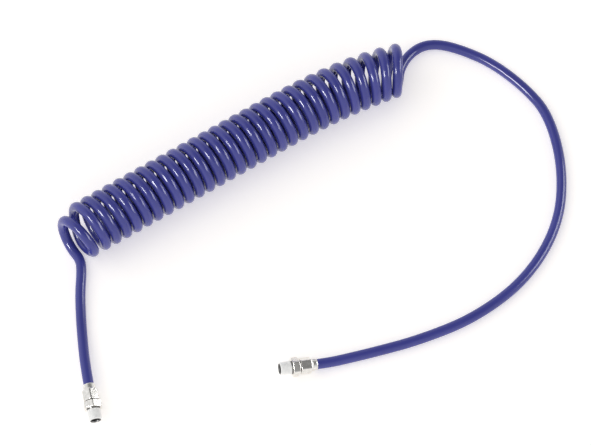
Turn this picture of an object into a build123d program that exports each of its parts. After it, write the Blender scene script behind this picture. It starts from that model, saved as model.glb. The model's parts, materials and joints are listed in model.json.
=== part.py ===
from build123d import *
import math
import os

# Coiled polyurethane air hose with a swivel male connector on each end.
# Millimetres, +Z up, everything lies on the floor z = 0.
# The origin is the middle of the floor area that the whole hose covers.
# The coil's straight stretch runs along +X.

# Hose
HOSE_OUTER_R = 5.0
HOSE_BORE_R = 3.25

# Coil: a closely wound right-handed helix lying on its side
TURNS = 30
MEAN_PITCH = 12.2
COIL_MEAN_R = 22.9
COIL_OUTER_R = COIL_MEAN_R + HOSE_OUTER_R
COIL_AXIS_XY = [(-196.2, 122), (87, 122), (131, 116.8), (162.9, 109)]

# Routes of the two uncoiled tails, from the coil to just before the fitting
SHORT_TAIL_XY = [
    (-201.5, 119), (-200, 105.5), (-206, 93.5), (-216, 78.5), (-225.5, 61.5), (-237, 38.5),
]
LONG_TAIL_XY = [
    (167.7, 107.7), (176, 118), (191.5, 127), (210, 129), (226, 121), (242, 102.5), (259, 74.5), (271, 34),
    (273.5, -4), (252, -59.5), (213.5, -108), (155, -139), (89.5, -146.5), (31, -137), (-9, -125.5),
    (-33.5, -117.8),
]
TANGENT_SHARE = 0.45

# Where each hose end enters its fitting, which way that fitting points, how far its
# nose is tilted up, and the length of straight hose in line with it, up to the cut end.
# The short end's fitting balances on its largest hexagon's turned-down corner. The long
# end's hose holds its fitting's nose up, on the clamp nut's lowest corner.
SHORT_ENTRY = (-257.6, -10.5, 9.6)
SHORT_HEADING = -109.7
SHORT_TILT = 0.0
SHORT_STRAIGHT = 26.0
LONG_ENTRY = (-63.5, -107.7, 7.3)
LONG_HEADING = 160.6
LONG_TILT = 12.0
LONG_STRAIGHT = 19.6

# Fitting, measured along its axis from the clamp nut's mouth (0) to the thread's end
NECK_END = 5.0
HOSE_STOP = 8.5
NUT_END = 17.0
STUD_START = 18.05
STUD_HEX_END = 25.5
THREAD_START = 27.0
FITTING_END = 38.0
SPIGOT_START = -4.0
STEM_END = 30.0

# Clamp nut, 15 mm across flats
NUT_FLATS = 15.0
NUT_CORNER_R = 8.4
NUT_MOUTH_R = 5.7
NUT_NECK_R = 6.3
NUT_HOSE_BORE_R = 5.05
NUT_THREAD_R = 6.05

# Barbed stem
STEM_THREAD_R = 6.0
STEM_BORE_R = 2.0
BARB_PEAK_R = 3.2
BARB_ROOT_R = 2.85
BARB_COUNT = 4
SWIVEL_R = 3.5

# Swivel seals, thrust washer and retaining ring
O_RING_STATIONS = {"front": 20.6, "rear": 23.6}
O_RING_SECTION_R = 0.4
O_RING_GROOVE_R = 2.7
O_RING_GROOVE_WIDTH = 1.2
WASHER_BORE_R = 3.6
WASHER_OUTER_R = 5.5
WASHER_THICKNESS = 0.98
RING_START = 27.15
RING_THICKNESS = 0.7
RING_BORE_R = 2.95
RING_OUTER_R = 4.3
RING_GAP = 2.2
RING_GROOVE_R = 2.9
RING_GROOVE_WIDTH = 0.8

# Stud, 17 mm across flats, with a quarter inch taper pipe thread
STUD_FLATS = 17.0
STUD_CORNER_R = 9.6
STUD_BORE_R = 3.55
STUD_MOUTH_R = 4.5
THREAD_R = 6.5785
RELIEF_R = 5.6
THREAD_LEAD_IN = 0.6
HEX_CHAMFER = 0.8


def hose_section():
    """The hose's ring-shaped cross-section."""
    return Circle(HOSE_OUTER_R) - Circle(HOSE_BORE_R)


def rounded_route(points):
    """Straight runs joined by tangent arcs, each as large as its two runs allow."""
    runs = [b - a for a, b in zip(points, points[1:])]
    radii = []
    for before, after in zip(runs, runs[1:]):
        half_turn = math.radians(before.get_angle(after)) / 2
        shorter = min(before.length, after.length)
        radii.append(TANGENT_SHARE * shorter / math.tan(half_turn))
    return FilletPolyline(*points, radius=radii), radii


def swept(section, path):
    """A section carried along a path from its start."""
    start = Plane(origin=path @ 0, z_dir=path % 0)
    return sweep(start * section, path=path)


def hose_tail(name, route_xy, entry, heading, tilt, straight):
    """Hose on the floor, rising at its end into the fitting's mouth, in line with it."""
    turn, rise = math.radians(heading), math.radians(tilt)
    ahead = Vector(math.cos(turn) * math.cos(rise), math.sin(turn) * math.cos(rise), math.sin(rise))
    cut_end = Vector(*entry) + ahead * HOSE_STOP
    points = [Vector(x, y, HOSE_OUTER_R) for x, y in route_xy]
    points += [cut_end - ahead * straight, cut_end]
    path, radii = rounded_route(points)
    tube = swept(hose_section(), path)
    expected = math.pi * (HOSE_OUTER_R**2 - HOSE_BORE_R**2) * path.length
    print(name, "length", round(path.length, 1), "smallest radius", round(min(radii), 1))
    print(name, "radii", [round(radius) for radius in radii])
    print(name, "volume over section times length", round(tube.volume / expected, 4))
    return tube


def hose_coil():
    """The coil's outer shape: a sleeve as wide as the coil.

    Its wall is thin enough to hold just the material of the hose wound in it.
    """
    points = [Vector(x, y, COIL_OUTER_R) for x, y in COIL_AXIS_XY]
    path, radii = rounded_route(points)
    wound_length = TURNS * math.hypot(2 * math.pi * COIL_MEAN_R, MEAN_PITCH)
    material = math.pi * (HOSE_OUTER_R**2 - HOSE_BORE_R**2) * wound_length
    inner_r = math.sqrt(COIL_OUTER_R**2 - material / (math.pi * path.length))
    print("coil hose length", round(wound_length), "sleeve bore radius", round(inner_r, 2))
    return swept(Circle(COIL_OUTER_R) - Circle(inner_r), path)


def ring(inner_r, outer_r, start, end):
    """A plain ring round the fitting's axis, between two stations."""
    profile = Pos((inner_r + outer_r) / 2, (start + end) / 2) * Rectangle(outer_r - inner_r, end - start)
    return revolve(Plane.XZ * profile, axis=Axis.Z)


def rod(radius, start, end):
    """A round rod on the fitting's axis, between two stations."""
    return Pos(0, 0, (start + end) / 2) * Cylinder(radius, end - start)


def turned_hexagon(across_flats, corner_r, start, end):
    """A hexagon bar with its corners turned down and both ends chamfered."""
    bar = Pos(0, 0, start) * extrude(
        RegularPolygon(across_flats / 2, 6, major_radius=False), amount=end - start
    )
    blank = rod(corner_r, start, end)
    blank = chamfer(blank.edges(), length=HEX_CHAMFER)
    return bar & blank


def clamp_nut():
    """Union nut: a slightly flared round neck, then the hexagon, threaded inside."""
    neck = Pos(0, 0, (NECK_END + HEX_CHAMFER) / 2) * Cone(
        NUT_MOUTH_R, NUT_NECK_R, NECK_END + HEX_CHAMFER
    )
    body = neck + turned_hexagon(NUT_FLATS, NUT_CORNER_R, NECK_END, NUT_END)
    return body - rod(NUT_HOSE_BORE_R, -1, NUT_END) - rod(NUT_THREAD_R, HOSE_STOP, NUT_END + 1)


def barbed_stem():
    """Hose spigot with barbs, threaded collar and the grooved swivel neck, drilled through."""
    pitch = (HOSE_STOP - SPIGOT_START) / BARB_COUNT
    outline = [(STEM_BORE_R, SPIGOT_START)]
    for barb in range(BARB_COUNT):
        outline.append((BARB_ROOT_R, SPIGOT_START + barb * pitch))
        outline.append((BARB_PEAK_R, SPIGOT_START + (barb + 1) * pitch))
    outline += [
        (STEM_THREAD_R, HOSE_STOP), (STEM_THREAD_R, NUT_END),
        (SWIVEL_R, NUT_END), (SWIVEL_R, STEM_END), (STEM_BORE_R, STEM_END),
    ]
    stem = revolve(Plane.XZ * make_face(Polyline(*outline, close=True)), axis=Axis.Z)
    for station in O_RING_STATIONS.values():
        half = O_RING_GROOVE_WIDTH / 2
        stem -= ring(O_RING_GROOVE_R, SWIVEL_R + 1, station - half, station + half)
    groove = RING_START - (RING_GROOVE_WIDTH - RING_THICKNESS) / 2
    return stem - ring(RING_GROOVE_R, SWIVEL_R + 1, groove, groove + RING_GROOVE_WIDTH)


def o_ring(station):
    """Seal in the swivel neck's groove, squeezed by the stud's bore."""
    middle_r = (O_RING_GROOVE_R + STUD_BORE_R) / 2
    return Pos(0, 0, station) * Torus(middle_r, O_RING_SECTION_R)


def thrust_washer():
    """Plain washer that the stud turns against, seen as the dark joint beside the nut."""
    return ring(WASHER_BORE_R, WASHER_OUTER_R, NUT_END, NUT_END + WASHER_THICKNESS)


def retaining_ring():
    """Open snap ring that keeps the stud on the swivel neck."""
    whole = ring(RING_BORE_R, RING_OUTER_R, RING_START, RING_START + RING_THICKNESS)
    return whole - Pos(RING_OUTER_R, 0, RING_START) * Box(RING_OUTER_R * 2, RING_GAP, RING_THICKNESS * 4)


def swivel_stud():
    """Hexagon, relief neck and male thread, bored through, with a wider mouth at the ring."""
    body = turned_hexagon(STUD_FLATS, STUD_CORNER_R, STUD_START, STUD_HEX_END)
    body += rod(RELIEF_R, STUD_HEX_END - HEX_CHAMFER, THREAD_START)
    thread = rod(THREAD_R, THREAD_START, FITTING_END)
    body += chamfer(thread.edges().sort_by(Axis.Z)[-1], length=THREAD_LEAD_IN)
    return body - rod(STUD_BORE_R, STUD_START - 1, THREAD_START) - rod(STUD_MOUTH_R, THREAD_START, FITTING_END + 1)


def fitting(end, entry, heading, tilt):
    """All pieces of one fitting, moved from their own axis to where the hose enters it."""
    pieces = {
        "clamp_nut": clamp_nut(),
        "barbed_stem": barbed_stem(),
        "thrust_washer": thrust_washer(),
        "retaining_ring": retaining_ring(),
        "swivel_stud": swivel_stud(),
    }
    for name, station in O_RING_STATIONS.items():
        pieces[name + "_o_ring"] = o_ring(station)
    place = Pos(*entry) * Rot(0, 0, heading) * Rot(0, 90 - tilt, 0)
    return {end + "_" + name: place * piece for name, piece in pieces.items()}


parts = {
    "hose_coil": hose_coil(),
    "hose_short_tail": hose_tail(
        "short tail", SHORT_TAIL_XY, SHORT_ENTRY, SHORT_HEADING, SHORT_TILT, SHORT_STRAIGHT
    ),
    "hose_long_tail": hose_tail(
        "long tail", LONG_TAIL_XY, LONG_ENTRY, LONG_HEADING, LONG_TILT, LONG_STRAIGHT
    ),
}
parts.update(fitting("short", SHORT_ENTRY, SHORT_HEADING, SHORT_TILT))
parts.update(fitting("long", LONG_ENTRY, LONG_HEADING, LONG_TILT))

os.makedirs("parts", exist_ok=True)
for name, piece in parts.items():
    export_step(piece, "parts/" + name + ".step")
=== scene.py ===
import json
import math
import bpy
import numpy as np
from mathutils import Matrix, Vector


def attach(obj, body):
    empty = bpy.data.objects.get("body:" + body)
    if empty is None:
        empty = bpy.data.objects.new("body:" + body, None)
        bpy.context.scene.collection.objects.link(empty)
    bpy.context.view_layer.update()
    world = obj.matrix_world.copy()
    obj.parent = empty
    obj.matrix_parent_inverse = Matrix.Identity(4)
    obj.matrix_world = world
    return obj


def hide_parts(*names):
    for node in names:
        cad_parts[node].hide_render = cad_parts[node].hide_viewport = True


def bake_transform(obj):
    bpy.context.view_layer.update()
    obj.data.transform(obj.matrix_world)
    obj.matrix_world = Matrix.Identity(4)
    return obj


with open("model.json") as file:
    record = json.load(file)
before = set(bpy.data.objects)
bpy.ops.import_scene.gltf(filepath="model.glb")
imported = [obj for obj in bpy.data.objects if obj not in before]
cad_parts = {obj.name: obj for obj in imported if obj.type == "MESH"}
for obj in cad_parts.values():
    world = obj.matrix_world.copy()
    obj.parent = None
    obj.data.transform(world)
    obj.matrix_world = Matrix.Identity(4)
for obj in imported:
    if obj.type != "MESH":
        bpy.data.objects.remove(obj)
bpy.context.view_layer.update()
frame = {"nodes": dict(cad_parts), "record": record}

# Coiled air hose with a swivel male connector on each end, in metres.
MM = 0.001

# ---------------------------------------------------------------- camera

CAMERA_TARGET = np.array([-0.0017, 0.0313, 0.0])
CAMERA_ELEVATION = math.radians(65.0)
CAMERA_TURN = math.radians(-32.0)
CAMERA_DISTANCE = 2.3
CAMERA_LENS_MM = 143.6


def add_camera():
    """The eye stands CAMERA_DISTANCE from the target, against the direction in which it looks."""
    data = bpy.data.cameras.new("eye")
    data.lens = CAMERA_LENS_MM
    eye = bpy.data.objects.new("eye", data)
    bpy.context.scene.collection.objects.link(eye)
    level = math.cos(CAMERA_ELEVATION)
    back = np.array([
        level * math.sin(CAMERA_TURN), -level * math.cos(CAMERA_TURN), math.sin(CAMERA_ELEVATION),
    ])
    eye.location = CAMERA_TARGET + CAMERA_DISTANCE * back
    eye.rotation_euler = (math.pi / 2 - CAMERA_ELEVATION, 0.0, CAMERA_TURN)
    bpy.context.scene.camera = eye


add_camera()

# ---------------------------------------------------------------- hose route

HOSE_R = 0.005
TURNS = 30
POINTS_PER_TURN = 16
COIL_R = 0.0229
PITCH = 0.01183
COIL_START_XY = (-0.197, 0.122)
# The coil's axis bends towards -Y and its turns open a little from this turn on
BEND_FROM_TURN = 17.8
BEND_PER_TURN2 = 0.0018
OPENING_PER_TURN = 0.0124
# The planes of the turns stand askew at both ends of the coil
FIRST_SKEW = 0.08
FIRST_SKEW_TURNS = 11.5
LAST_SKEW_FROM_TURN = 20.9
LAST_SKEW_PER_TURN2 = 0.0051
# The first turn is pulled out along the axis and a little tighter
FIRST_TURN_OUT = 0.0045
FIRST_TURN_TIGHTER = 0.0028
FIRST_TURN_FADES = (0.35, 1.05)
# Where the first turn passes over the floor it lies further out as well
FIRST_FLOOR_OUT = 0.0045
FIRST_FLOOR_WIDTH = 0.13
# The tops of all turns lean outwards along the axis
LEAN = 0.0022
# The last turns are pushed outwards except where they touch the floor, the last one by this much
LAST_LEAN = 0.0018
LAST_LEAN_TURNS = 6.0

# The uncoiled points, in the order in which the hose runs from the short fitting
SHORT_TAIL_XY = [
    (-0.237, 0.0385), (-0.2255, 0.0615), (-0.216, 0.0785), (-0.206, 0.0935), (-0.200, 0.1055),
]
LONG_TAIL_XY = [
    (0.176, 0.118), (0.1915, 0.127), (0.210, 0.129), (0.226, 0.121), (0.242, 0.1025), (0.259, 0.0745),
    (0.271, 0.034), (0.2735, -0.004), (0.252, -0.0595), (0.2135, -0.108), (0.155, -0.139),
    (0.0895, -0.1465), (0.031, -0.137), (-0.009, -0.1255), (-0.0335, -0.1178),
]
HOSE_STOP = 8.5 * MM
SHORT_STRAIGHT = 26.0 * MM
LONG_STRAIGHT = 19.6 * MM
MOUNT_STATION = 32.2 * MM
# Steps of the spline between two control points, and how many of them go by per ring in the coil
LINE_STEPS = 12
COIL_STRIDE = 3


def smooth_step(x):
    """Rises from 0 to 1 as x does, level at both ends."""
    x = np.clip(x, 0.0, 1.0)
    return x * x * (3.0 - 2.0 * x)


def unit(v):
    """The same directions at length 1."""
    return v / np.linalg.norm(v, axis=-1, keepdims=True)


class Fitting:
    """Where a fitting's own frame lies: its mouth, its axis and the two directions across it."""

    def __init__(self, end):
        mount = next(m for m in frame["record"]["mounts"] if m["name"] == end + "_end_thread")
        self.end = end
        self.axis = unit(np.array(mount["axis"], float))
        self.mouth = np.array(mount["pos_m"], float) - MOUNT_STATION * self.axis
        self.side = unit(np.cross((0.0, 0.0, 1.0), self.axis))
        self.down = np.cross(self.side, self.axis)

    def station(self, along):
        return self.mouth + along * self.axis

    def place(self, local):
        """Points (down, side, along) of the fitting's own frame, in the row frame."""
        return self.mouth + local @ np.stack([self.down, self.side, self.axis])


short_fitting = Fitting("short")
long_fitting = Fitting("long")


def coil_points():
    """Control points of the wound turns.

    The axis starts at COIL_START_XY and advances a pitch each turn, along a heading that bends
    with the square of the turns past BEND_FROM_TURN. Round it the hose goes from the bottom to
    the back, the top and the front, at COIL_R, in a plane that stands across the heading plus
    the skew. The tops of the turns lean along the axis, and the first turn is set further out. The
    control points lie outside the circle, which brings the curve onto it.
    """
    turn = np.arange(TURNS * POINTS_PER_TURN + 1) / POINTS_PER_TURN
    past_bend = np.maximum(turn - BEND_FROM_TURN, 0.0)
    heading = -BEND_PER_TURN2 * past_bend**2
    advance = PITCH * (1.0 + OPENING_PER_TURN * past_bend) / POINTS_PER_TURN
    steps = advance[:, None] * np.stack([np.cos(heading), np.sin(heading)], axis=1)
    axis = COIL_START_XY + np.cumsum(steps, axis=0) - steps[0]
    skew = FIRST_SKEW * np.maximum(1.0 - turn / FIRST_SKEW_TURNS, 0.0)
    skew -= LAST_SKEW_PER_TURN2 * np.maximum(turn - LAST_SKEW_FROM_TURN, 0.0) ** 2
    across = np.stack([-np.sin(heading + skew), np.cos(heading + skew)], axis=1)
    along = np.stack([np.cos(heading), np.sin(heading)], axis=1)
    fade_from, fade_to = FIRST_TURN_FADES
    pulled = 1.0 - smooth_step((turn - fade_from) / (fade_to - fade_from))
    radius = COIL_R - FIRST_TURN_TIGHTER * pulled
    outside = 1.0 / (0.75 + 0.25 * math.cos(2.0 * math.pi / POINTS_PER_TURN))
    angle = 2.0 * math.pi * turn - math.pi / 2.0
    level = radius * outside * np.cos(angle) - FIRST_TURN_TIGHTER * pulled
    height = HOSE_R + radius + radius * outside * np.sin(angle)
    out = FIRST_TURN_OUT * pulled + FIRST_FLOOR_OUT * np.exp(-(((turn - 1.0) / FIRST_FLOOR_WIDTH) ** 2))
    leaning = smooth_step((turn - TURNS + LAST_LEAN_TURNS) / LAST_LEAN_TURNS)
    out -= LAST_LEAN * leaning * smooth_step((1.0 + np.sin(angle)) / 0.9)
    out -= LEAN * (0.5 + 0.5 * np.sin(angle))
    plan = axis - out[:, None] * along + level[:, None] * across
    return np.column_stack([plan, height])


def on_floor(points_xy):
    """Route points of hose that lies on the floor."""
    return np.array([(x, y, HOSE_R) for x, y in points_xy])


def hose_route():
    """The hose's spline, and how many of its control points come before the coil's end."""
    before = np.vstack([
        short_fitting.station(HOSE_STOP),
        short_fitting.station(HOSE_STOP - SHORT_STRAIGHT),
        on_floor(SHORT_TAIL_XY),
        coil_points(),
    ])
    after = np.vstack([
        on_floor(LONG_TAIL_XY),
        long_fitting.station(HOSE_STOP - LONG_STRAIGHT),
        long_fitting.station(HOSE_STOP),
    ])
    points = np.vstack([before, after])
    curve = bpy.data.curves.new("hose_route", "CURVE")
    curve.dimensions = "3D"
    curve.resolution_u = LINE_STEPS
    spline = curve.splines.new("NURBS")
    spline.points.add(len(points) - 1)
    spline.points.foreach_set("co", np.column_stack([points, np.ones(len(points))]).ravel())
    spline.order_u = 3
    spline.use_endpoint_u = True
    return curve, len(before)


def hose_line():
    """Points along the hose's middle, as read from its spline, and the indexes near the coil's ends.

    The spline gives slightly more than LINE_STEPS points for each control point, so the far end that
    is found lies about one control point, 8 mm, before the coil's last one.
    The spline's points are close enough together for the tails. In the coil every third is used.
    """
    curve, before = hose_route()
    holder = bpy.data.objects.new("hose_route", curve)
    mesh = bpy.data.meshes.new_from_object(holder)
    line = np.zeros(len(mesh.vertices) * 3, np.float32)
    mesh.vertices.foreach_get("co", line)
    line = line.reshape(-1, 3).astype(float)
    bpy.data.objects.remove(holder)
    bpy.data.curves.remove(curve)
    bpy.data.meshes.remove(mesh)
    coil_start = (len(SHORT_TAIL_XY) + 1) * LINE_STEPS + LINE_STEPS // 2
    coil_end = (before - 2) * LINE_STEPS + LINE_STEPS // 2
    keep = np.r_[
        np.arange(coil_start),
        np.arange(coil_start, coil_end, COIL_STRIDE),
        np.arange(coil_end, len(line)),
    ]
    return line[keep], int(np.searchsorted(keep, coil_end)), int(coil_start)


line, coil_end, coil_start = hose_line()


# ---------------------------------------------------------------- meshes


def new_piece(name, points, faces, local=None):
    """A smooth mesh object. Its 'place' attribute holds the piece's own coordinates, in metres."""
    mesh = bpy.data.meshes.new(name)
    mesh.from_pydata(points.tolist(), [], faces)
    if local is not None:
        attribute = mesh.attributes.new("place", "FLOAT_VECTOR", "POINT")
        attribute.data.foreach_set("vector", local.astype(np.float32).ravel())
    mesh.polygons.foreach_set("use_smooth", np.ones(len(mesh.polygons), bool))
    mesh.update()
    piece = bpy.data.objects.new(name, mesh)
    bpy.context.scene.collection.objects.link(piece)
    return piece


def grid_faces(rows, columns, rows_wrap=False):
    """Quads between neighbouring rows of points, each row a closed round."""
    last = rows if rows_wrap else rows - 1
    row, column = np.meshgrid(np.arange(last), np.arange(columns), indexing="ij")
    ahead, right = (row + 1) % rows, (column + 1) % columns
    here, there = row * columns, ahead * columns
    corners = [here + column, here + right, there + right, there + column]
    return np.stack(corners, axis=-1).reshape(-1, 4).tolist()


def carried_frames(points):
    """Two directions across a line at each of its points, carried along it without twist."""
    tangent = unit(np.gradient(points, axis=0))
    first = np.empty_like(points)
    across = unit(np.cross(tangent[0], (0.0, 0.0, 1.0)))
    for i, ahead in enumerate(tangent):
        across = unit(across - (across @ ahead) * ahead)
        first[i] = across
    return first, np.cross(tangent, first)


HOSE_SIDES = 28


def hose_piece(name, start, end):
    """A tube of HOSE_R round the hose's line between two of its points, closed at both ends.

    The surface is line(s) + HOSE_R (cos a first(s) + sin a second(s)), and each end is a fan
    to the line's own end point.
    """
    centre, first, second = line[start:end + 1], across_1[start:end + 1], across_2[start:end + 1]
    angle = np.arange(HOSE_SIDES) * 2.0 * math.pi / HOSE_SIDES
    ring = np.cos(angle)[:, None] * first[:, None] + np.sin(angle)[:, None] * second[:, None]
    points = (centre[:, None] + HOSE_R * ring).reshape(-1, 3)
    rows = len(centre)
    faces = grid_faces(rows, HOSE_SIDES)
    head, tail = rows * HOSE_SIDES, rows * HOSE_SIDES + 1
    last = (rows - 1) * HOSE_SIDES
    for i in range(HOSE_SIDES):
        j = (i + 1) % HOSE_SIDES
        faces.append([head, j, i])
        faces.append([tail, last + i, last + j])
    place = np.empty((rows, HOSE_SIDES, 3))
    place[..., 0] = HOSE_R * np.cos(angle)
    place[..., 1] = HOSE_R * np.sin(angle)
    place[..., 2] = along_line[start:end + 1, None]
    ends = [centre[0], centre[-1]]
    end_places = [(0.0, 0.0, along_line[start]), (0.0, 0.0, along_line[end])]
    return new_piece(
        name, np.vstack([points, ends]), faces, np.vstack([place.reshape(-1, 3), end_places])
    )


across_1, across_2 = carried_frames(line)
along_line = np.concatenate([[0.0], np.cumsum(np.linalg.norm(np.diff(line, axis=0), axis=1))])
coiled_hose = hose_piece("coiled_hose", 0, coil_end)
lead_hose = hose_piece("lead_hose", coil_end, len(line) - 1)

# Fitting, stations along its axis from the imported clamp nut's mouth and radii, in millimetres.
# The nut and the stud's hexagon stand 0.9 to 1.6 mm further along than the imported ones.

SECTOR_STEPS = 22


def hexagon_angles():
    """Angles round a hexagon, closer together towards its corners. Corners are at 0, 60, ..."""
    share = np.arange(SECTOR_STEPS) / SECTOR_STEPS
    bent = share - 0.135 * np.sin(2.0 * math.pi * share)
    return (np.arange(6)[:, None] + bent).ravel() * math.pi / 3.0


def hexagon_radius(angle, flats):
    """Distance from the middle to a hexagon's side, in the direction of each angle."""
    from_flat = np.mod(angle, math.pi / 3.0) - math.pi / 6.0
    return flats / 2.0 / np.cos(from_flat)


def softer(a, b, power=70.0):
    """The smaller of two radii, rounded where they cross."""
    return (a**-power + b**-power) ** (-1.0 / power)


def turned_shell(name, fitting, stations, radii, angle):
    """A closed shell of revolution: points (r cos a, r sin a, u) for a closed profile (u, r(a))."""
    local = np.stack([
        radii * np.cos(angle)[None, :],
        radii * np.sin(angle)[None, :],
        np.broadcast_to(stations, radii.shape),
    ], axis=-1) * MM
    rows, columns = radii.shape
    points = fitting.place(local.reshape(-1, 3))
    return new_piece(name, points, grid_faces(rows, columns, rows_wrap=True), local.reshape(-1, 3))


def fine_profile(corners, step):
    """Points along a profile of straight lines, about a step apart, closer together towards each corner."""
    corners = np.array(corners, float)
    runs = []
    for a, b in zip(corners, np.roll(corners, -1, axis=0)):
        length = np.linalg.norm(b - a)
        count = max(4, int(length / step))
        share = np.arange(count) / count
        eased = share - 0.11 * np.sin(2.0 * math.pi * share)
        runs.append(a + eased[:, None] * (b - a))
    return np.vstack(runs)


NUT_FLATS = 15.0
STUD_FLATS = 17.0
# How far round each clamp nut and stud was left after tightening
HEXAGON_TURNS = {
    "short": (math.radians(2.0), math.radians(-6.0)),
    "long": (math.radians(14.1), math.radians(6.6)),
}


def clamp_nut(fitting, turned_by):
    """Neck with a rolled lip, sloping shoulder, then the hexagon cut from a chamfered bar."""
    outline = fine_profile([
        (1.6, 5.15), (1.75, 5.75), (2.5, 5.95), (6.3, 6.2), (6.8, 6.45), (8.2, 8.4),
        (17.7, 8.4), (18.4, 7.3), (18.4, 6.1), (8.5, 6.1), (8.5, 5.12),
    ], 0.35)
    angle = hexagon_angles()
    station, turned = outline[:, :1], np.broadcast_to(outline[:, 1:], (len(outline), len(angle)))
    outside = np.arange(len(outline)) < np.argmax((outline[:, 0] >= 18.39) & (outline[:, 1] < 7.2))
    hexed = softer(turned, hexagon_radius(angle, NUT_FLATS)[None, :])
    radii = np.where(outside[:, None] & (station > 6.4), hexed, turned)
    return turned_shell(fitting.end + "_nut", fitting, station, radii, angle + turned_by)


def stud(fitting, turned_by):
    """Hexagon with both ends chamfered, relief neck, and the stub that carries the thread."""
    outline = fine_profile([
        (19.3, 4.0), (19.3, 8.3), (20.1, 9.6), (25.7, 9.6), (26.4, 8.2), (26.4, 5.7),
        (27.2, 5.5), (27.2, 4.6), (25.8, 4.5), (25.8, 3.75),
    ], 0.4)
    angle = hexagon_angles()
    station, turned = outline[:, :1], np.broadcast_to(outline[:, 1:], (len(outline), len(angle)))
    inner = np.arange(len(outline)) > np.argmax((outline[:, 0] >= 26.39) & (outline[:, 1] < 6.5))
    hexed = softer(turned, hexagon_radius(angle, STUD_FLATS)[None, :])
    radii = np.where(inner[:, None], turned, hexed)
    return turned_shell(fitting.end + "_stud_hexagon", fitting, station, radii, angle + turned_by)


THREAD_PITCH = 25.4 / 19.0
THREAD_DEPTH = 0.62
THREAD_FROM = 26.6
THREAD_TO = 38.0
THREAD_TAPER = 1.0 / 32.0
THREAD_CREST_R = 6.5785


def thread(fitting):
    """Tapered male thread: the crest radius less a rounded groove that winds round it.

    The groove's depth goes as the cosine of (u / pitch - a / turn), flattened at the crest,
    and it fades out at both ends of the thread. The bore through it is plain.
    """
    angle = np.arange(96) * 2.0 * math.pi / 96
    station = np.linspace(THREAD_FROM, THREAD_TO, 150)[:, None]
    wave = 0.5 + 0.5 * np.cos(2.0 * math.pi * station / THREAD_PITCH - angle[None, :])
    fade = smooth_step((station - THREAD_FROM - 0.3) / 1.2) * smooth_step((THREAD_TO - 0.5 - station) / 0.9)
    crest = THREAD_CREST_R - THREAD_TAPER * (station - THREAD_FROM)
    lead_in = 0.75 * smooth_step((station - THREAD_TO + 0.9) / 0.9) + 0.7 * smooth_step(
        (THREAD_FROM + 0.9 - station) / 0.9
    )
    outside = crest - lead_in - THREAD_DEPTH * fade * wave**1.6
    inside_station = np.array([
        38.02, 38.0, 37.85, 36.0, 33.0, 30.0, 27.4, 27.2, 27.1, 26.8, 26.6,
    ])[:, None]
    inside_r = np.array([5.2, 4.75, 4.55, 4.5, 4.5, 4.5, 4.5, 4.5, 4.7, 5.0, 5.4])[:, None]
    inside = np.broadcast_to(inside_r, (len(inside_r), len(angle)))
    radii = np.vstack([outside, inside])
    stations = np.vstack([station, inside_station])
    return turned_shell(fitting.end + "_thread", fitting, stations, radii, angle)


# ---------------------------------------------------------------- materials


class Wire:
    """A shader socket that takes part in sums: an expression on it adds its Math nodes."""

    def __init__(self, finish, socket):
        self.finish = finish
        self.socket = socket

    def _math(self, operation, *values):
        return self.finish.add("Math", {"operation": operation}, dict(enumerate(values)))

    def __add__(self, other):
        return self._math("ADD", self, other)

    def __sub__(self, other):
        return self._math("SUBTRACT", self, other)

    def __rsub__(self, other):
        return self._math("SUBTRACT", other, self)

    def __mul__(self, other):
        return self._math("MULTIPLY", self, other)

    def __pow__(self, other):
        return self._math("POWER", self, other)

    __radd__ = __add__
    __rmul__ = __mul__


class Finish:
    """A node material, built by one method that adds any node."""

    def __init__(self, name):
        self.material = bpy.data.materials.new(name)
        self.material.use_nodes = True
        self.tree = self.material.node_tree
        self.tree.nodes.clear()

    def add(self, kind, settings=None, values=None, output=0):
        """Adds a node, sets it, then gives its sockets values or links; returns one output."""
        node = self.tree.nodes.new("ShaderNode" + kind)
        for key, value in (settings or {}).items():
            if key == "stops":
                for element, (place, colour) in zip(ramp_elements(node, len(value)), value):
                    element.position = place
                    element.color = colour
            else:
                setattr(node, key, value)
        for key, value in (values or {}).items():
            if isinstance(value, Wire):
                self.tree.links.new(value.socket, node.inputs[key])
            else:
                node.inputs[key].default_value = value
        return Wire(self, node.outputs[output])

    def place(self, scale=(1.0, 1.0, 1.0)):
        """The piece's own coordinates, stretched."""
        own = self.add("Attribute", {"attribute_name": "place"}, output="Vector")
        return self.add("Mapping", {}, {"Vector": own, "Scale": scale})

    def row(self, scale=(1.0, 1.0, 1.0)):
        """The object's coordinates, stretched."""
        own = self.add("TexCoord", output="Object")
        return self.add("Mapping", {}, {"Vector": own, "Scale": scale})

    def noise(self, vector, scale, detail=2.0, roughness=0.5):
        return self.add("TexNoise", {}, {
            "Vector": vector, "Scale": scale, "Detail": detail, "Roughness": roughness,
        })

    def ramp(self, factor, stops):
        return self.add("ValToRGB", {"stops": stops}, {"Fac": factor})

    def bump(self, height, distance, strength=1.0):
        return self.add("Bump", {}, {"Height": height, "Distance": distance, "Strength": strength})

    def surface(self, values):
        """Ends the material in a Principled shader with these values."""
        shader = self.add("BsdfPrincipled", {}, values)
        self.add_output(shader)
        return self.material

    def add_output(self, shader):
        node = self.tree.nodes.new("ShaderNodeOutputMaterial")
        self.tree.links.new(shader.socket, node.inputs["Surface"])


def ramp_elements(node, count):
    """A colour ramp's stops, as many as count."""
    elements = node.color_ramp.elements
    while len(elements) < count:
        elements.new(0.5)
    return elements


def grey(value):
    return (value, value, value, 1.0)


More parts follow.
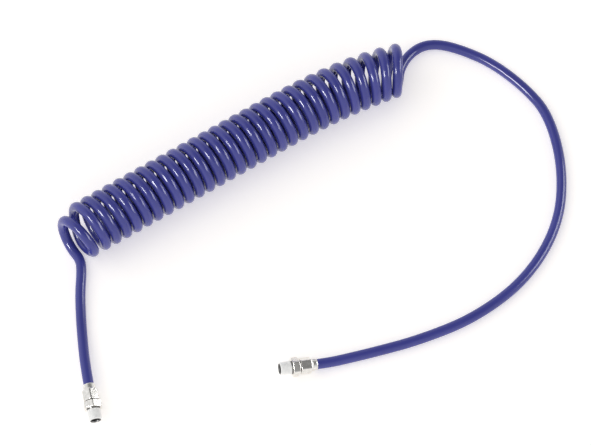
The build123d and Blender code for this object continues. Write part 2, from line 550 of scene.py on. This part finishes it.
def polyurethane():
    """Glossy extruded hose: faint draw lines along it and soft shade changes."""
    f = Finish("blue_polyurethane")
    draw_lines = f.noise(f.place((1.0, 1.0, 0.02)), 1900.0, 2.0)
    mottle = f.noise(f.place((1.0, 1.0, 0.35)), 55.0, 3.0)
    wall = f.noise(f.place((1.0, 1.0, 0.12)), 260.0, 1.0)
    colour = f.ramp(mottle, [
        (0.30, (0.044, 0.049, 0.275, 1.0)),
        (0.52, (0.051, 0.056, 0.300, 1.0)),
        (0.75, (0.058, 0.063, 0.325, 1.0)),
    ])
    height = draw_lines * 0.5 + wall * 1.2
    return f.surface({
        "Base Color": colour,
        "Roughness": 0.11 + mottle * 0.07 + draw_lines * 0.03,
        "IOR": 1.5,
        "Normal": f.bump(height, 0.00006),
    })


def nickel():
    """Bright nickel on turned brass: fine tool rings across the axis and a soft haze."""
    f = Finish("bright_nickel")
    rings = f.noise(f.place((0.02, 0.02, 1.0)), 5200.0, 2.0)
    haze = f.noise(f.place(), 420.0, 3.0)
    colour = f.ramp(haze, [(0.3, (0.70, 0.69, 0.66, 1.0)), (0.7, (0.82, 0.81, 0.79, 1.0))])
    return f.surface({
        "Base Color": colour,
        "Metallic": 1.0,
        "Roughness": 0.10 + haze * 0.12,
        "Normal": f.bump(rings, 0.00002),
    })


def sealed_thread():
    """Thread with white sealant baked on it: matt and slightly granular outside. The bore and the relief
    are uncoated metal painted dark grey as shade, far darker than the nickel elsewhere; they are told apart
    by distance from the axis and along it."""
    f = Finish("white_sealant_and_painted_shade")
    grain = f.noise(f.place(), 2600.0, 3.0, 0.6)
    patches = f.noise(f.place(), 380.0, 2.0)
    own = f.place()
    parts = f.add("SeparateXYZ", {}, {"Vector": own})
    along = f.add("SeparateXYZ", {}, {"Vector": own}, output="Z")
    across = f.add("SeparateXYZ", {}, {"Vector": own}, output="Y")
    from_axis = (parts * parts + across * across) ** 0.5
    outside = f.add("MapRange", {}, {"Value": from_axis, "From Min": 0.0050, "From Max": 0.0053})
    past_relief = f.add("MapRange", {}, {"Value": along, "From Min": 0.0273, "From Max": 0.0277})
    coated = outside * past_relief
    white = f.ramp(patches, [(0.3, (0.92, 0.92, 0.91, 1.0)), (0.7, (0.96, 0.96, 0.95, 1.0))])
    # painted shade: the bore and the relief get dark grey metal, far darker than the nickel elsewhere
    bare_painted_shade = f.ramp(patches, [(0.3, grey(0.16)), (0.7, grey(0.24))])
    colour = f.add("Mix", {"data_type": "RGBA"}, {0: coated, 6: bare_painted_shade, 7: white}, output=2)
    return f.surface({
        "Base Color": colour,
        "Metallic": 1.0 - coated,
        "Roughness": 0.30 + grain * 0.25,
        "Normal": f.bump(grain, 0.00008),
    })


def inner_finish(name, colour_low, colour_high, roughness, metallic=1.0):
    """Finish of an inner piece, metal or not: haze and fine marks in the object's coordinates."""
    f = Finish(name)
    haze = f.noise(f.row(), 900.0, 3.0)
    marks = f.noise(f.row((1.0, 1.0, 3.0)), 4200.0, 1.0)
    return f.surface({
        "Base Color": f.ramp(haze, [(0.3, colour_low), (0.7, colour_high)]),
        "Metallic": metallic,
        "Roughness": roughness + haze * 0.15,
        "Normal": f.bump(marks, 0.00002),
    })


# ---------------------------------------------------------------- putting the pieces in

hose_finish = polyurethane()
nickel_finish = nickel()
thread_finish = sealed_thread()
rubber_finish = inner_finish("nitrile_rubber", grey(0.01), grey(0.02), 0.5, 0.0)
KEPT_FINISHES = {
    "barbed_stem": inner_finish("stem_nickel", (0.62, 0.60, 0.56, 1.0), (0.78, 0.76, 0.72, 1.0), 0.16),
    "thrust_washer": inner_finish("black_acetal", grey(0.012), grey(0.03), 0.38, 0.0),
    "front_o_ring": rubber_finish,
    "rear_o_ring": rubber_finish,
    "retaining_ring": inner_finish("oiled_spring_steel", grey(0.25), grey(0.42), 0.24),
}


def dress(piece, material):
    """Gives a piece its material."""
    piece.data.materials.clear()
    piece.data.materials.append(material)


dress(coiled_hose, hose_finish)
dress(lead_hose, hose_finish)
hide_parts("hose_coil", "hose_short_tail")
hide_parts("hose_long_tail")
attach(lead_hose, "lead")


def stretch_with_coil():
    """Bakes the coiled hose's placement into its mesh, and works out for each point of the hose's middle
    a smoothed share of the way from the coil's start to its end, by where it lies along the coil."""
    start, end = line[coil_start], line[coil_end]
    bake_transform(coiled_hose)
    reach = end - start
    share = smooth_step((line[:coil_end + 1] - start) @ reach / (reach @ reach))
    share[:coil_start] = 0.0


stretch_with_coil()

for fitting, hose_body in ((short_fitting, "coil"), (long_fitting, "lead")):
    end = fitting.end
    nut_turn, stud_turn = HEXAGON_TURNS[end]
    nut = clamp_nut(fitting, nut_turn)
    dress(nut, nickel_finish)
    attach(nut, hose_body)
    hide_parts(end + "_clamp_nut")
    hexagon = stud(fitting, stud_turn)
    dress(hexagon, nickel_finish)
    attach(hexagon, end + "_connector")
    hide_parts(end + "_swivel_stud")
    winding = thread(fitting)
    dress(winding, thread_finish)
    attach(winding, end + "_connector")
    for name, finish in KEPT_FINISHES.items():
        node = frame["nodes"][end + "_" + name]
        node.data.materials.clear()
        node.data.materials.append(finish)

# ---------------------------------------------------------------- floor and light

FLOOR_HALF = 6.0
FLOOR_GLOW = 0.42
WARM_WHITE = (1.0, 0.973, 0.947, 1.0)
DIMS_WITH = (0.25, 0.0, 0.75)


def add_floor():
    """Plain pale floor that glows a little, so that shadows on it stay pale."""
    corners = np.array([(-1, -1, 0), (1, -1, 0), (1, 1, 0), (-1, 1, 0)], float) * FLOOR_HALF
    floor = new_piece("floor", corners, [[0, 1, 2, 3]])
    f = Finish("pale_floor")
    dust = f.noise(f.row(), 3.0, 2.0)
    floor.data.materials.append(f.surface({
        "Base Color": f.ramp(dust, [(0.3, (0.925, 0.900, 0.876, 1.0)), (0.7, (0.93, 0.905, 0.881, 1.0))]),
        "Roughness": 0.95,
        "Specular IOR Level": 0.1,
        "Emission Color": WARM_WHITE,
        "Emission Strength": FLOOR_GLOW,
    }))


def add_light(name, direction, distance, size, watts, in_gloss, in_fill):
    """A rectangular soft light that looks at the object from a direction, for gloss, fill or both."""
    data = bpy.data.lights.new(name, "AREA")
    data.shape = "RECTANGLE"
    data.size, data.size_y = size
    data.energy = watts
    light = bpy.data.objects.new(name, data)
    bpy.context.scene.collection.objects.link(light)
    away = unit(np.array(direction, float))
    light.location = away * distance
    light.rotation_mode = "QUATERNION"
    light.rotation_quaternion = Vector(away).to_track_quat("Z", "Y")
    light.visible_glossy = in_gloss
    light.visible_diffuse = in_fill


def add_world():
    """White to the eye. What light and gloss see is bright all round and dims overhead and to the
    right, by 0.75 of the direction's height plus 0.25 of how far right it points."""
    world = bpy.data.worlds.new("studio")
    bpy.context.scene.world = world
    world.use_nodes = True
    tree = world.node_tree
    tree.nodes.clear()
    out = tree.nodes.new("ShaderNodeOutputWorld")
    mix = tree.nodes.new("ShaderNodeMixShader")
    seen = tree.nodes.new("ShaderNodeBackground")
    lit = tree.nodes.new("ShaderNodeBackground")
    path = tree.nodes.new("ShaderNodeLightPath")
    where = tree.nodes.new("ShaderNodeTexCoord")
    ramp = tree.nodes.new("ShaderNodeValToRGB")
    stops = [
        (0.0, grey(1.0)), (0.35, grey(0.95)), (0.50, grey(0.80)), (0.62, grey(0.42)), (0.78, grey(0.22)),
    ]
    for element, (place, colour) in zip(ramp_elements(ramp, len(stops)), stops):
        element.position = place
        element.color = colour
    seen.inputs["Color"].default_value = WARM_WHITE
    weigh = tree.nodes.new("ShaderNodeVectorMath")
    weigh.operation = "DOT_PRODUCT"
    weigh.inputs[1].default_value = DIMS_WITH
    tree.links.new(where.outputs["Generated"], weigh.inputs[0])
    tree.links.new(weigh.outputs["Value"], ramp.inputs["Fac"])
    tree.links.new(ramp.outputs["Color"], lit.inputs["Color"])
    tree.links.new(path.outputs["Is Camera Ray"], mix.inputs["Fac"])
    tree.links.new(lit.outputs["Background"], mix.inputs[1])
    tree.links.new(seen.outputs["Background"], mix.inputs[2])
    tree.links.new(mix.outputs["Shader"], out.inputs["Surface"])


add_floor()
add_world()
add_light("left_softbox", (-0.75, 0.03, 0.66), 2.0, (0.85, 0.40), 34.0, True, False)
add_light("right_softbox", (0.80, -0.35, 0.49), 2.0, (1.5, 0.9), 25.0, True, False)
add_light("overhead", (-0.45, 0.35, 1.0), 2.6, (2.6, 2.6), 13.0, False, True)
bpy.context.scene.view_settings.view_transform = "Standard"
